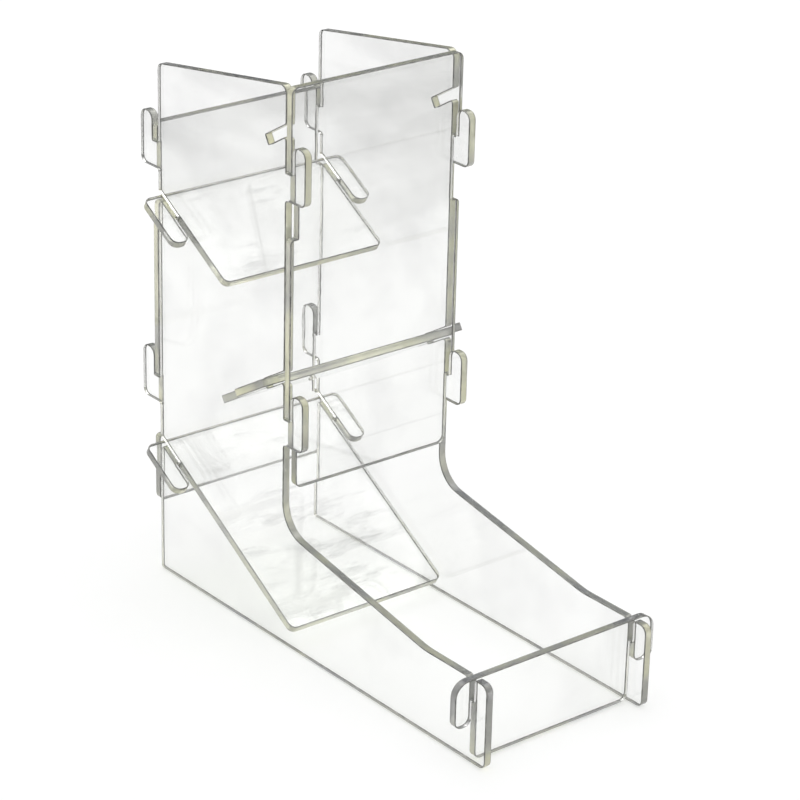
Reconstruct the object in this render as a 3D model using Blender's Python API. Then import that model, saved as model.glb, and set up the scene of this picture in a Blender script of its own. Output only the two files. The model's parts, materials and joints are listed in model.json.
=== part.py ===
"""Clear acrylic dice tower that plugs together without glue or screws.

Eight flat sheets: two side panels stand on the table, and everything else hooks onto them.
The front, back and tray panels drop into upward-open slots and lift out again. The three
ramps slide into sloping slots, and the front and back panels then keep them in.

Metres, +Z up, the tray points along -Y. The origin is the centre of the footprint, on the
table. A place along the depth is its distance in front of the side panels' back edge.
"""
import math

import bmesh
import bpy
from mathutils import Matrix, Vector

# --- driving dimensions -------------------------------------------------------------------
SHEET = 0.0032              # thickness of every acrylic sheet
FIT = 0.0003                # clearance between a sheet and the slot or edge beside it

TOWER_WIDTH = 0.0800        # outside of one side panel to outside of the other
TOWER_DEPTH = 0.0812        # back edge to front edge of the tall part of a side panel
TRAY_LENGTH = 0.2024        # back edge to the tip of the tray
BACK_HEIGHT = 0.2126        # top corner of a side panel at the back, before rounding
FRONT_HEIGHT = 0.2253       # the same at the front: the top edge climbs forwards
TRAY_HEIGHT = 0.0340        # tray walls, and the tray's front panel

FINGER = 0.0078             # width of every hook finger
EAR_HEIGHT = 0.0220         # hook ear on an edge of a side panel, top to underside
EAR_SLOT = 0.0112           # how deep a panel drops into an ear
BACK_LOWER_SEAT = 0.0836    # height on which the back panel rests in the lower ears
FRONT_LOWER_SEAT = 0.0948   # the same for the front panel
BACK_UPPER_DROP = 0.0314    # from the back's top corner down to the seats in the upper ears
FRONT_UPPER_DROP = 0.0330
LIFT_ROOM = 0.0145          # free height under an ear before a panel's shoulder meets it

FRONT_PANEL_DROP = 0.0005   # top of the front panel below the side panels' front corner
FRONT_PANEL_BOTTOM = 0.0660
BACK_PANEL_RISE = 0.0078    # top of the back panel above its upper seats
BACK_PANEL_BOTTOM = 0.0292

TRAY_PANEL_SETBACK = 0.0074         # tray's front panel to the tip of the side panel
TRAY_PANEL_BOTTOM = 0.0005          # the tray's front panel hangs clear of the table
TRAY_SLOT_DEPTH = 0.0090            # from the top of the tray wall down to the panel's seat
TRAY_HOOK_DROP = 0.0095             # its outer fingers reach this far below the seat
TRAY_WALL_LEVEL = 0.0359            # stretch of the tray wall that is level, back from its tip

RAMP_SLOPE = math.radians(30.5)
RAMP_HOOK = 0.0240          # length of a ramp's hook fingers, along the slope
RAMP_NOTCH = 0.0120         # depth of the notch between finger and ramp
UPPER_RAMP_DROP = 0.0533    # back's top corner to where the ramp's middle plane meets the edge
UPPER_RAMP_LENGTH = 0.0470
MIDDLE_RAMP_HEIGHT = 0.1118
MIDDLE_RAMP_LENGTH = 0.0490
LOWER_RAMP_END = 0.0058     # height of the middle plane of its lower end over the table
LOWER_RAMP_LENGTH = 0.0975
SPARE_SLOT_DROP = 0.0170    # front's top corner to an unused sloping slot, for a fourth ramp

SCOOP_HEIGHT = 0.0490       # where the front edge would meet the falling top of the tray wall
SCOOP_RADIUS = 0.0130
WALL_BEND_RADIUS = 0.0300

CORNER = 0.0030             # rounding of an outer corner
SMALL_CORNER = 0.0012       # rounding of a slot mouth and of the corner under an ear
NOTCH_CORNER = FIT          # rounding inside a slot, small enough to clear a sheet's corner
HOOK_CORNER = 0.0034        # rounding of a finger's tip
ARC_STEP = math.radians(11.25)      # one facet of a rounded corner

# --- sizes that follow ---------------------------------------------------------------------
SLOT = SHEET + 2 * FIT
EAR_REACH = SLOT + FINGER
HALF_WIDTH = TOWER_WIDTH / 2
HALF_INSIDE = HALF_WIDTH - SHEET - FIT          # half width of what stands between the sides
HALF_SPAN = HALF_WIDTH + FIT + FINGER           # half width across the hook fingers
BACK_EDGE_Y = (TRAY_LENGTH - EAR_REACH) / 2     # puts the origin under the middle
BACK_UPPER_SEAT = BACK_HEIGHT - BACK_UPPER_DROP
FRONT_UPPER_SEAT = FRONT_HEIGHT - FRONT_UPPER_DROP
UPPER_RAMP_HEIGHT = BACK_HEIGHT - UPPER_RAMP_DROP
SPARE_SLOT_HEIGHT = FRONT_HEIGHT - SPARE_SLOT_DROP
RAMP_TOP_DROP = SHEET / 2 * math.sin(RAMP_SLOPE) * math.tan(RAMP_SLOPE)     # edge to top corner
LOWER_RAMP_HEIGHT = LOWER_RAMP_END + LOWER_RAMP_LENGTH * math.sin(RAMP_SLOPE) + RAMP_TOP_DROP
RAMP_NOTCH_END = RAMP_HOOK - RAMP_NOTCH         # from a ramp's top edge to its notch
TRAY_SEAT = TRAY_HEIGHT - TRAY_SLOT_DEPTH       # height on which the tray's front panel rests
TRAY_SLOT_FRONT = TRAY_LENGTH - TRAY_PANEL_SETBACK + FIT


def depth_y(depth):
    """World Y of a place given by its distance in front of the back edge."""
    return BACK_EDGE_Y - depth


def rounded(corners):
    """Points of a closed outline. Each corner is (u, v, radius), and radius 0 stays sharp."""
    points = []
    count = len(corners)
    for index, (u, v, radius) in enumerate(corners):
        here = Vector((u, v))
        before = Vector(corners[index - 1][:2]) - here
        after = Vector(corners[(index + 1) % count][:2]) - here
        if radius == 0:
            points.append(here)
            continue
        half = before.angle(after) / 2
        reach = radius / math.tan(half)
        limit = min(before.length, after.length) * 0.49
        if reach > limit:
            reach = limit
            radius = reach * math.tan(half)
        centre = here + (before.normalized() + after.normalized()).normalized() * radius / math.sin(half)
        start = here + before.normalized() * reach - centre
        turn = math.pi - 2 * half
        if before.x * after.y - before.y * after.x > 0:
            turn = -turn
        steps = max(2, math.ceil(abs(turn) / ARC_STEP))
        for step in range(steps + 1):
            points.append(centre + Matrix.Rotation(turn * step / steps, 2) @ start)
    return points


def sheet(name, corners, place, origin):
    """Cut a sheet from an outline and stand it in place.

    place(u, v, w) gives the world point for outline coordinates u, v and a height w through
    the sheet, from 0 to 1. The object's origin is put at the given world point.
    """
    outline = [place(point.x, point.y, 0.0) for point in rounded(corners)]
    through = place(0, 0, 1) - place(0, 0, 0)
    origin = Vector(origin)

    shape = bmesh.new()
    verts = [shape.verts.new(point - origin) for point in outline]
    face = shape.faces.new(verts)
    extruded = bmesh.ops.extrude_face_region(shape, geom=[face])
    top = [item for item in extruded["geom"] if isinstance(item, bmesh.types.BMVert)]
    bmesh.ops.translate(shape, verts=top, vec=through)
    bmesh.ops.recalc_face_normals(shape, faces=shape.faces)

    mesh = bpy.data.meshes.new(name)
    shape.to_mesh(mesh)
    shape.free()
    mesh.shade_smooth()
    mesh.set_sharp_from_angle(angle=math.radians(30))
    mesh.materials.append(acrylic(name))
    piece = bpy.data.objects.new(name, mesh)
    piece.location = origin
    bpy.context.scene.collection.objects.link(piece)
    return piece


def acrylic(name):
    """Clear acrylic with a trace of yellow green."""
    material = bpy.data.materials.new(name + "_acrylic")
    material.use_nodes = True
    shader = material.node_tree.nodes["Principled BSDF"]
    shader.inputs["Base Color"].default_value = (0.95, 0.97, 0.92, 1.0)
    shader.inputs["Roughness"].default_value = 0.02
    shader.inputs["Metallic"].default_value = 0.0
    shader.inputs["IOR"].default_value = 1.49
    shader.inputs["Transmission Weight"].default_value = 1.0
    return material


# --- side panels ---------------------------------------------------------------------------
def ear(edge, outward, seat):
    """Upward-open hook ear, as outline corners in order from its underside to its slot.

    edge is the depth of the panel's edge, outward is +1 in front of it and -1 behind it,
    and seat is the height of the slot's bottom.
    """
    slot_side = edge + outward * SLOT
    tip_side = edge + outward * EAR_REACH
    top = seat + EAR_SLOT
    underside = top - EAR_HEIGHT
    return [
        (edge, underside, SMALL_CORNER),
        (tip_side, underside, CORNER),
        (tip_side, top, HOOK_CORNER),
        (slot_side, top, HOOK_CORNER),
        (slot_side, seat, NOTCH_CORNER),
        (edge, seat, NOTCH_CORNER),
    ]


def ramp_slot(edge, inward, height):
    """Sloping slot cut into an edge, as outline corners from its upper lip to its lower lip.

    edge is the depth of the panel's edge, inward is the direction into the panel, and height
    is where the slot's middle line meets the edge.
    """
    half = SLOT / 2
    down = -math.tan(RAMP_SLOPE)
    lip = half / math.cos(RAMP_SLOPE)
    # a ramp's upper end is flush with the edge, so its notch starts this far into the panel
    run = ramp_reach(RAMP_NOTCH_END + FIT)
    end = (edge + inward * run, height + down * run)
    across = (inward * math.sin(RAMP_SLOPE) * half, math.cos(RAMP_SLOPE) * half)
    return [
        (edge, height + lip, SMALL_CORNER),
        (end[0] + across[0], end[1] + across[1], NOTCH_CORNER),
        (end[0] - across[0], end[1] - across[1], NOTCH_CORNER),
        (edge, height - lip, SMALL_CORNER),
    ]


def ramp_reach(along):
    """Horizontal distance into the tower of a point on a ramp's middle plane."""
    return SHEET / 2 * math.sin(RAMP_SLOPE) + along * math.cos(RAMP_SLOPE)


def side_outline():
    """Profile of a side panel as (depth, height, radius) corners, from the back down."""
    corners = [(0, 0, SMALL_CORNER)]
    corners += [(TRAY_LENGTH, 0, CORNER)]
    corners += [(TRAY_LENGTH, TRAY_HEIGHT, HOOK_CORNER)]
    corners += [(TRAY_SLOT_FRONT, TRAY_HEIGHT, SMALL_CORNER)]
    corners += [(TRAY_SLOT_FRONT, TRAY_SEAT - FIT, NOTCH_CORNER)]
    corners += [(TRAY_SLOT_FRONT - SLOT, TRAY_SEAT - FIT, NOTCH_CORNER)]
    corners += [(TRAY_SLOT_FRONT - SLOT, TRAY_HEIGHT, SMALL_CORNER)]
    corners += [(TRAY_LENGTH - TRAY_WALL_LEVEL, TRAY_HEIGHT, WALL_BEND_RADIUS)]
    corners += [(TOWER_DEPTH, SCOOP_HEIGHT, SCOOP_RADIUS)]
    corners += ear(TOWER_DEPTH, 1, FRONT_LOWER_SEAT - FIT)
    corners += reversed(ramp_slot(TOWER_DEPTH, -1, MIDDLE_RAMP_HEIGHT))
    corners += ear(TOWER_DEPTH, 1, FRONT_UPPER_SEAT - FIT)
    corners += reversed(ramp_slot(TOWER_DEPTH, -1, SPARE_SLOT_HEIGHT))
    corners += [(TOWER_DEPTH, FRONT_HEIGHT, CORNER)]
    corners += [(0, BACK_HEIGHT, CORNER)]
    corners += reversed(ear(0, -1, BACK_UPPER_SEAT - FIT))
    corners += ramp_slot(0, 1, UPPER_RAMP_HEIGHT)
    corners += reversed(ear(0, -1, BACK_LOWER_SEAT - FIT))
    corners += ramp_slot(0, 1, LOWER_RAMP_HEIGHT)
    return corners


def side_panel(name, inner_x, outer_x):
    def place(depth, height, through):
        x = outer_x + (inner_x - outer_x) * through
        return Vector((x, depth_y(depth), height))

    return sheet(name, side_outline(), place, (outer_x, depth_y(0), 0))


# --- upright panels that hook into the ears --------------------------------------------------
def mirrored(right_side):
    """A closed outline, symmetric about u = 0, from the corners of its right half, top down."""
    left_side = [(-u, v, radius) for u, v, radius in reversed(right_side)]
    return right_side + left_side


def neck(seat):
    """Corners of a narrow part beside a pair of ears, from its seat down to the next shoulder."""
    ear_underside = seat - FIT + EAR_SLOT - EAR_HEIGHT
    shoulder_top = ear_underside - LIFT_ROOM
    return [
        (HALF_WIDTH, seat, CORNER / 2),
        (HALF_INSIDE, seat, NOTCH_CORNER),
        (HALF_INSIDE, shoulder_top, NOTCH_CORNER),
        (HALF_WIDTH, shoulder_top, CORNER),
    ]


def upright(name, half_outline, back_face_depth, origin_height):
    """A panel across the tower whose back face is at the given depth."""
    def place(x, height, through):
        return Vector((x, depth_y(back_face_depth + SHEET * through), height))

    middle = (0, depth_y(back_face_depth + SHEET / 2), origin_height)
    return sheet(name, mirrored(half_outline), place, middle)


def front_panel():
    right = [(HALF_WIDTH, FRONT_HEIGHT - FRONT_PANEL_DROP, CORNER)]
    right += neck(FRONT_UPPER_SEAT)
    right += [
        (HALF_WIDTH, FRONT_LOWER_SEAT, CORNER / 2),
        (HALF_INSIDE, FRONT_LOWER_SEAT, NOTCH_CORNER),
        (HALF_INSIDE, FRONT_PANEL_BOTTOM, CORNER),
    ]
    return upright("front_panel", right, TOWER_DEPTH + FIT, FRONT_LOWER_SEAT)


def back_panel():
    right = [(HALF_WIDTH, BACK_UPPER_SEAT + BACK_PANEL_RISE, CORNER)]
    right += neck(BACK_UPPER_SEAT)
    right += neck(BACK_LOWER_SEAT)
    right += [(HALF_WIDTH, BACK_PANEL_BOTTOM, CORNER)]
    return upright("back_panel", right, -FIT - SHEET, BACK_LOWER_SEAT)


def tray_front_panel():
    hook_inside = HALF_SPAN - FINGER
    hook_bottom = TRAY_SEAT - TRAY_HOOK_DROP
    right = [
        (HALF_SPAN, TRAY_HEIGHT, 2 * CORNER),
        (HALF_SPAN, hook_bottom, HOOK_CORNER),
        (hook_inside, hook_bottom, HOOK_CORNER),
        (hook_inside, TRAY_SEAT, NOTCH_CORNER),
        (HALF_INSIDE, TRAY_SEAT, NOTCH_CORNER),
        (HALF_INSIDE, TRAY_PANEL_BOTTOM, CORNER),
    ]
    back_face = TRAY_SLOT_FRONT - FIT - SHEET
    return upright("tray_front_panel", right, back_face, TRAY_SEAT)


# --- ramps ------------------------------------------------------------------------------------
def ramp(name, length, edge, inward, height):
    """A ramp that falls inwards from a side panel's edge, with a hook finger on each side."""
    hook_inside = HALF_SPAN - FINGER
    right = [
        (HALF_SPAN, 0, CORNER),
        (HALF_SPAN, RAMP_HOOK, HOOK_CORNER),
        (hook_inside, RAMP_HOOK, HOOK_CORNER),
        (hook_inside, RAMP_NOTCH_END, NOTCH_CORNER),
        (HALF_INSIDE, RAMP_NOTCH_END, NOTCH_CORNER),
        (HALF_INSIDE, length, CORNER),
    ]
    level = math.cos(RAMP_SLOPE)
    fall = math.sin(RAMP_SLOPE)

    def place(x, along, through):
        above = SHEET * (through - 0.5)
        depth = edge + inward * (ramp_reach(along) + above * fall)
        drop = RAMP_TOP_DROP + along * fall
        return Vector((x, depth_y(depth), height - drop + above * level))

    return sheet(name, mirrored(right), place, place(0, 0, 0.5))


def main():
    for leftover in list(bpy.data.objects):
        bpy.data.objects.remove(leftover, do_unlink=True)
    side_panel("side_panel_left", -HALF_WIDTH + SHEET, -HALF_WIDTH)
    side_panel("side_panel_right", HALF_WIDTH - SHEET, HALF_WIDTH)
    front_panel()
    back_panel()
    tray_front_panel()
    ramp("upper_ramp", UPPER_RAMP_LENGTH, 0, 1, UPPER_RAMP_HEIGHT)
    ramp("middle_ramp", MIDDLE_RAMP_LENGTH, TOWER_DEPTH, -1, MIDDLE_RAMP_HEIGHT)
    ramp("lower_ramp", LOWER_RAMP_LENGTH, 0, 1, LOWER_RAMP_HEIGHT)


main()
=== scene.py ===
"""Looks of the clear acrylic dice tower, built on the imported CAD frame."""
import json
import math

import bmesh
import bpy
from mathutils import Matrix, Vector


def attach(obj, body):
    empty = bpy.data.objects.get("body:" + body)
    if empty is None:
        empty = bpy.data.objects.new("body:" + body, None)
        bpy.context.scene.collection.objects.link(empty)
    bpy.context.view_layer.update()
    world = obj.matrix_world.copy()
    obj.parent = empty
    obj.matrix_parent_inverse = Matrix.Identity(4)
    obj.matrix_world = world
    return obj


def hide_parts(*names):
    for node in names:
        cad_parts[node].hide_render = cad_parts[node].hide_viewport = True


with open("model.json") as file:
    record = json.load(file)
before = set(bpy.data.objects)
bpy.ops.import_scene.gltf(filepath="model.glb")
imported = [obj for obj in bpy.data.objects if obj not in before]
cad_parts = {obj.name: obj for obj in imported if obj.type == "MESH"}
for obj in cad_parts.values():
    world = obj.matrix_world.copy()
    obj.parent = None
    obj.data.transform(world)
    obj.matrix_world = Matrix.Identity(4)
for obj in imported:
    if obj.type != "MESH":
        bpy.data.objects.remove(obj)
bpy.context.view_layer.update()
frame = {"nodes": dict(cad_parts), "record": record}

# --- sizes, in metres ------------------------------------------------------------------------
ARRIS = 0.00035             # easing that the cutter leaves on each edge of a sheet
ARRIS_STEPS = 2
FLAT = math.radians(2)      # faces that lie within this angle of each other are one flat face
CUT = math.radians(40)      # a sheet's face meets its cut edge at more than this
WELD = 1e-6                 # points nearer than this are one
FACE_SLOT, EDGE_SLOT, ARRIS_SLOT = 0, 1, 2      # material slots of every sheet

GREYING_START = 0.125          # height where the greying begins
GREYING_FULL = 0.200           # height where it is full
GREYING_TONE = 0.84            # how much light one fully greyed face lets through
SCUFF_TONE = 0.66           # and one scuff mark

SMUDGE_SIZE = 0.045
SCRATCH_SIZE = 0.0012
# size of the patches of painted highlight on the cut edges
EDGE_HIGHLIGHT_SIZE = 0.030
RIPPLE_SIZE = 0.0006
RELIEF = 0.0001             # depth that the bumps stand for

FLOOR_SIDE = 16.0
FLOOR_GAP = 0.0005          # keeps the base edges from sharing the floor's plane
FLOOR_TONE = 0.92

# --- optics ----------------------------------------------------------------------------------
ACRYLIC_IOR = 1.49
SHADOW_TINT = (0.975, 0.98, 0.97, 1.0)      # what one face takes out of the lamp's light
LIGHT_BOUNCES = 64          # light zigzags along inside a sheet before it comes out of an edge

# --- camera and lamp -------------------------------------------------------------------------
AZIMUTH = math.radians(-39.342)
ELEVATION = math.radians(23.6)
ROLL = math.radians(1.422)
DISTANCE = 1.17382
TARGET = Vector((0.0, -0.00547, 0.09911))
LENS = 140.19               # millimetres, on a sensor of the width below
SENSOR = 36.0
CLIP_START = 0.05

LAMP_PLACE = (0.3, 0.4, 2.2)
LAMP_SIDE = 2.6
LAMP_POWER = 34.0


# --- shader nodes ----------------------------------------------------------------------------
def grey(value):
    return (value, value, value)


def node_tree(owner):
    """The emptied node tree of a material or world."""
    owner.use_nodes = True
    owner.node_tree.nodes.clear()
    return owner.node_tree


def add(tree, kind, **values):
    """A shader node with some of its inputs set."""
    node = tree.nodes.new(kind)
    for name, value in values.items():
        node.inputs[name.replace("_", " ")].default_value = value
    return node


def ramp(tree, source, stops):
    """Colours for a value, from (position, colour) stops."""
    node = tree.nodes.new("ShaderNodeValToRGB")
    elements = node.color_ramp.elements
    while len(elements) < len(stops):
        elements.new(0.5)
    for element, (position, colour) in zip(elements, stops):
        element.position = position
        element.color = (*colour, 1.0)
    tree.links.new(source, node.inputs["Fac"])
    return node.outputs["Color"]


def tinted(tree, first, second):
    """Product of two colours."""
    node = tree.nodes.new("ShaderNodeVectorMath")
    node.operation = "MULTIPLY"
    tree.links.new(first, node.inputs[0])
    tree.links.new(second, node.inputs[1])
    return node.outputs["Vector"]


def product(tree, first, second):
    """Product of two values."""
    node = tree.nodes.new("ShaderNodeMath")
    node.operation = "MULTIPLY"
    tree.links.new(first, node.inputs[0])
    tree.links.new(second, node.inputs[1])
    return node.outputs[0]


def upward_part(tree, vector):
    parts = tree.nodes.new("ShaderNodeSeparateXYZ")
    tree.links.new(vector, parts.inputs[0])
    return parts.outputs["Z"]


def object_place(tree, scale):
    """Object coordinates stretched by a scale along each axis."""
    place = tree.nodes.new("ShaderNodeTexCoord")
    mapping = add(tree, "ShaderNodeMapping", Scale=scale)
    tree.links.new(place.outputs["Object"], mapping.inputs["Vector"])
    return mapping.outputs["Vector"]


def noise(tree, scale, size, detail=4.0, roughness=0.55):
    """Noise over object coordinates, with spots of about the given size in metres."""
    node = add(tree, "ShaderNodeTexNoise", Scale=1.0 / size, Detail=detail, Roughness=roughness)
    tree.links.new(object_place(tree, scale), node.inputs["Vector"])
    return node.outputs["Fac"]


def bump(tree, shader, height, strength):
    node = add(tree, "ShaderNodeBump", Strength=strength, Distance=RELIEF)
    tree.links.new(height, node.inputs["Height"])
    tree.links.new(node.outputs["Normal"], shader.inputs["Normal"])


def acrylic(tree, transmission, roughness=0.5):
    return add(
        tree, "ShaderNodeBsdfPrincipled", IOR=ACRYLIC_IOR, Transmission_Weight=transmission,
        Metallic=0.0, Roughness=roughness,
    )


def clear_output(tree, shader):
    """Light from lamps passes straight through, so that clear sheets cast next to no shadow."""
    output = tree.nodes.new("ShaderNodeOutputMaterial")
    mix = tree.nodes.new("ShaderNodeMixShader")
    path = tree.nodes.new("ShaderNodeLightPath")
    through = add(tree, "ShaderNodeBsdfTransparent", Color=SHADOW_TINT)
    tree.links.new(path.outputs["Is Shadow Ray"], mix.inputs["Fac"])
    tree.links.new(shader.outputs[0], mix.inputs[1])
    tree.links.new(through.outputs[0], mix.inputs[2])
    tree.links.new(mix.outputs[0], output.inputs["Surface"])


# --- materials -------------------------------------------------------------------------------
def top_greying(tree):
    """Faint grey on the upper part of the tower, growing with height, in level bands."""
    height = tree.nodes.new("ShaderNodeMapRange")
    tree.links.new(upward_part(tree, object_place(tree, (1, 1, 1))), height.inputs["Value"])
    height.inputs["From Min"].default_value = GREYING_START
    height.inputs["From Max"].default_value = GREYING_FULL
    bands = noise(tree, (0.5, 0.5, 3.0), 0.06, detail=3.0)
    depth = ramp(tree, bands, [(0.40, grey(0.35)), (0.60, grey(1.0))])
    amount = product(tree, height.outputs["Result"], depth)
    return ramp(tree, amount, [(0.0, grey(1.0)), (1.0, grey(GREYING_TONE))])


def scuffs(tree):
    """Short grey marks across a ramp, where dice land and slide."""
    marks = noise(tree, (0.22, 1, 1), 0.008, detail=6.0, roughness=0.65)
    places = noise(tree, (1, 1, 1), 0.030, detail=1.0)
    amount = product(
        tree,
        ramp(tree, marks, [(0.55, grey(0.0)), (0.66, grey(1.0))]),
        ramp(tree, places, [(0.42, grey(0.0)), (0.60, grey(1.0))]),
    )
    return ramp(tree, amount, [(0.0, grey(1.0)), (1.0, grey(SCUFF_TONE))])


def polished_face(name, scuffed=False):
    """The sheet's own surface: clear, with a few faint smudges and hairline scratches."""
    material = bpy.data.materials.new(name)
    tree = node_tree(material)
    shader = acrylic(tree, transmission=1.0)
    smudges = noise(tree, (1, 1, 1), SMUDGE_SIZE)
    tint = ramp(tree, smudges, [
        (0.0, (0.968, 0.970, 0.964)),
        (0.50, (0.962, 0.965, 0.958)),
        (0.72, (0.860, 0.862, 0.860)),
    ])
    if scuffed:
        tint = tinted(tree, tint, scuffs(tree))
    tree.links.new(tinted(tree, tint, top_greying(tree)), shader.inputs["Base Color"])
    tree.links.new(
        ramp(tree, smudges, [(0.0, grey(0.0)), (0.58, grey(0.004)), (0.80, grey(0.06))]),
        shader.inputs["Roughness"],
    )
    bump(tree, shader, noise(tree, (1, 1, 0.12), SCRATCH_SIZE, detail=2.0), strength=0.02)
    clear_output(tree, shader)
    return material


def level_edge_shade(tree):
    """Painted shade: edges that lie level, facing straight up or down, are greyer than the others.
    """
    steepness = tree.nodes.new("ShaderNodeMath")
    steepness.operation = "ABSOLUTE"
    normal = tree.nodes.new("ShaderNodeTexCoord").outputs["Normal"]
    tree.links.new(upward_part(tree, normal), steepness.inputs[0])
    return ramp(tree, steepness.outputs[0], [(0.90, grey(1.0)), (0.98, (0.46, 0.47, 0.50))])


def cut_edge():
    """The laser-cut edge, rippled by the beam: grey to yellow green where light collects in it, as
    painted reflection and painted highlight in its colour.
    """
    material = bpy.data.materials.new("cut_edge")
    tree = node_tree(material)
    shader = acrylic(tree, transmission=0.55, roughness=0.08)
    # painted reflection and highlight: grey and yellow green patches at random
    highlight_patches = ramp(tree, noise(tree, (1, 1, 1), EDGE_HIGHLIGHT_SIZE, detail=2.0), [
        (0.38, (0.52, 0.52, 0.51)),
        (0.46, (0.74, 0.74, 0.67)),
        (0.51, (0.86, 0.86, 0.68)),
        (0.57, (1.00, 0.98, 0.75)),
    ])
    # painted highlights, darkened on level edges by painted shade
    tree.links.new(tinted(tree, highlight_patches, level_edge_shade(tree)), shader.inputs["Base Color"])
    bump(tree, shader, noise(tree, (1, 1, 1), RIPPLE_SIZE, detail=2.0), strength=0.15)
    clear_output(tree, shader)
    return material


def arris():
    """The eased line between face and cut edge, which turns light away and looks dark; the dark is
    painted shade in its colour, lighter in random spots.
    """
    material = bpy.data.materials.new("arris")
    tree = node_tree(material)
    shader = acrylic(tree, transmission=0.2, roughness=0.3)
    # painted shade, lighter and darker in random spots
    shade_spots = noise(tree, (1, 1, 1), 0.004, detail=3.0)
    tree.links.new(
        ramp(tree, shade_spots, [(0.35, (0.09, 0.09, 0.085)), (0.65, (0.32, 0.32, 0.30))]),
        shader.inputs["Base Color"],
    )
    clear_output(tree, shader)
    return material


# --- sheets ----------------------------------------------------------------------------------
def sheet_normal(shape):
    """Normal of a sheet's two large faces."""
    largest = max(shape.faces, key=lambda face: face.calc_area())
    return largest.normal.copy()


def clear_sheet(node_name, body, materials):
    """A sheet with the outline and place of a CAD node, with eased arrises and cut edges."""
    shape = bmesh.new()
    shape.from_mesh(frame["nodes"][node_name].data)
    bmesh.ops.remove_doubles(shape, verts=shape.verts, dist=WELD)
    bmesh.ops.dissolve_limit(shape, angle_limit=FLAT, verts=shape.verts, edges=shape.edges)
    shape.normal_update()
    normal = sheet_normal(shape)
    for face in shape.faces:
        face.smooth = True
        faces_out = abs(face.normal.dot(normal)) > 0.9
        face.material_index = FACE_SLOT if faces_out else EDGE_SLOT

    mesh = bpy.data.meshes.new(node_name + "_sheet")
    shape.to_mesh(mesh)
    shape.free()
    mesh.set_sharp_from_angle(angle=CUT)
    for material in materials:
        mesh.materials.append(material)
    piece = bpy.data.objects.new(node_name + "_sheet", mesh)
    bpy.context.scene.collection.objects.link(piece)

    bevel = piece.modifiers.new("arris", "BEVEL")
    bevel.width = ARRIS
    bevel.segments = ARRIS_STEPS
    bevel.limit_method = "ANGLE"
    bevel.angle_limit = CUT
    bevel.material = ARRIS_SLOT
    bevel.harden_normals = True
    bevel.use_clamp_overlap = False

    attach(piece, body)
    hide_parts(node_name)


def build_sheets():
    plain = polished_face("polished_face")
    scuffed = polished_face("scuffed_face", scuffed=True)
    edge, line = cut_edge(), arris()
    for body, node_names in frame["record"]["behaviour"]["bodies"].items():
        for node_name in node_names:
            face = scuffed if node_name.endswith("_ramp") else plain
            clear_sheet(node_name, body, (face, edge, line))


# --- studio ----------------------------------------------------------------------------------
def floor():
    half = FLOOR_SIDE / 2
    mesh = bpy.data.meshes.new("floor")
    corners = [(-half, -half, 0), (half, -half, 0), (half, half, 0), (-half, half, 0)]
    mesh.from_pydata(corners, [], [(0, 1, 2, 3)])
    material = bpy.data.materials.new("floor")
    tree = node_tree(material)
    shader = add(tree, "ShaderNodeBsdfDiffuse", Color=(*grey(FLOOR_TONE), 1.0))
    output = tree.nodes.new("ShaderNodeOutputMaterial")
    tree.links.new(shader.outputs[0], output.inputs["Surface"])
    mesh.materials.append(material)
    ground = bpy.data.objects.new("floor", mesh)
    ground.location.z = -FLOOR_GAP
    bpy.context.scene.collection.objects.link(ground)


def sky():
    """Soft grey surroundings, brighter overhead."""
    world = bpy.data.worlds.new("studio")
    bpy.context.scene.world = world
    tree = node_tree(world)
    place = tree.nodes.new("ShaderNodeTexCoord")
    colour = ramp(tree, upward_part(tree, place.outputs["Generated"]), [
        (0.0, grey(0.10)),
        (0.35, grey(0.16)),
        (0.75, grey(0.9)),
    ])
    background = add(tree, "ShaderNodeBackground", Strength=1.0)
    tree.links.new(colour, background.inputs["Color"])
    output = tree.nodes.new("ShaderNodeOutputWorld")
    tree.links.new(background.outputs[0], output.inputs["Surface"])


def top_light():
    data = bpy.data.lights.new("top_light", "AREA")
    data.shape = "SQUARE"
    data.size = LAMP_SIDE
    data.energy = LAMP_POWER
    lamp = bpy.data.objects.new("top_light", data)
    lamp.location = LAMP_PLACE
    lamp.rotation_mode = "QUATERNION"
    lamp.rotation_quaternion = (-Vector(LAMP_PLACE)).to_track_quat("-Z", "Y")
    bpy.context.scene.collection.objects.link(lamp)


def camera():
    """Looks at the tower from its left front, from above, a little rolled."""
    back = Vector((
        math.sin(AZIMUTH) * math.cos(ELEVATION),
        -math.cos(AZIMUTH) * math.cos(ELEVATION),
        math.sin(ELEVATION),
    ))
    right = Vector((math.cos(AZIMUTH), math.sin(AZIMUTH), 0.0))
    up = back.cross(right)
    across = math.cos(ROLL) * right + math.sin(ROLL) * up
    upright = -math.sin(ROLL) * right + math.cos(ROLL) * up
    turn = Matrix((across, upright, back)).transposed().to_4x4()

    data = bpy.data.cameras.new("camera")
    data.sensor_width = SENSOR
    data.lens = LENS
    data.clip_start = CLIP_START
    eye = bpy.data.objects.new("camera", data)
    eye.matrix_world = Matrix.Translation(TARGET + DISTANCE * back) @ turn
    bpy.context.scene.collection.objects.link(eye)
    bpy.context.scene.camera = eye


def studio():
    floor()
    sky()
    top_light()
    scene = bpy.context.scene
    scene.view_settings.view_transform = "Standard"
    scene.cycles.max_bounces = LIGHT_BOUNCES
    scene.cycles.transmission_bounces = LIGHT_BOUNCES
    scene.cycles.glossy_bounces = LIGHT_BOUNCES
    scene.cycles.transparent_max_bounces = LIGHT_BOUNCES


camera()
build_sheets()
studio()
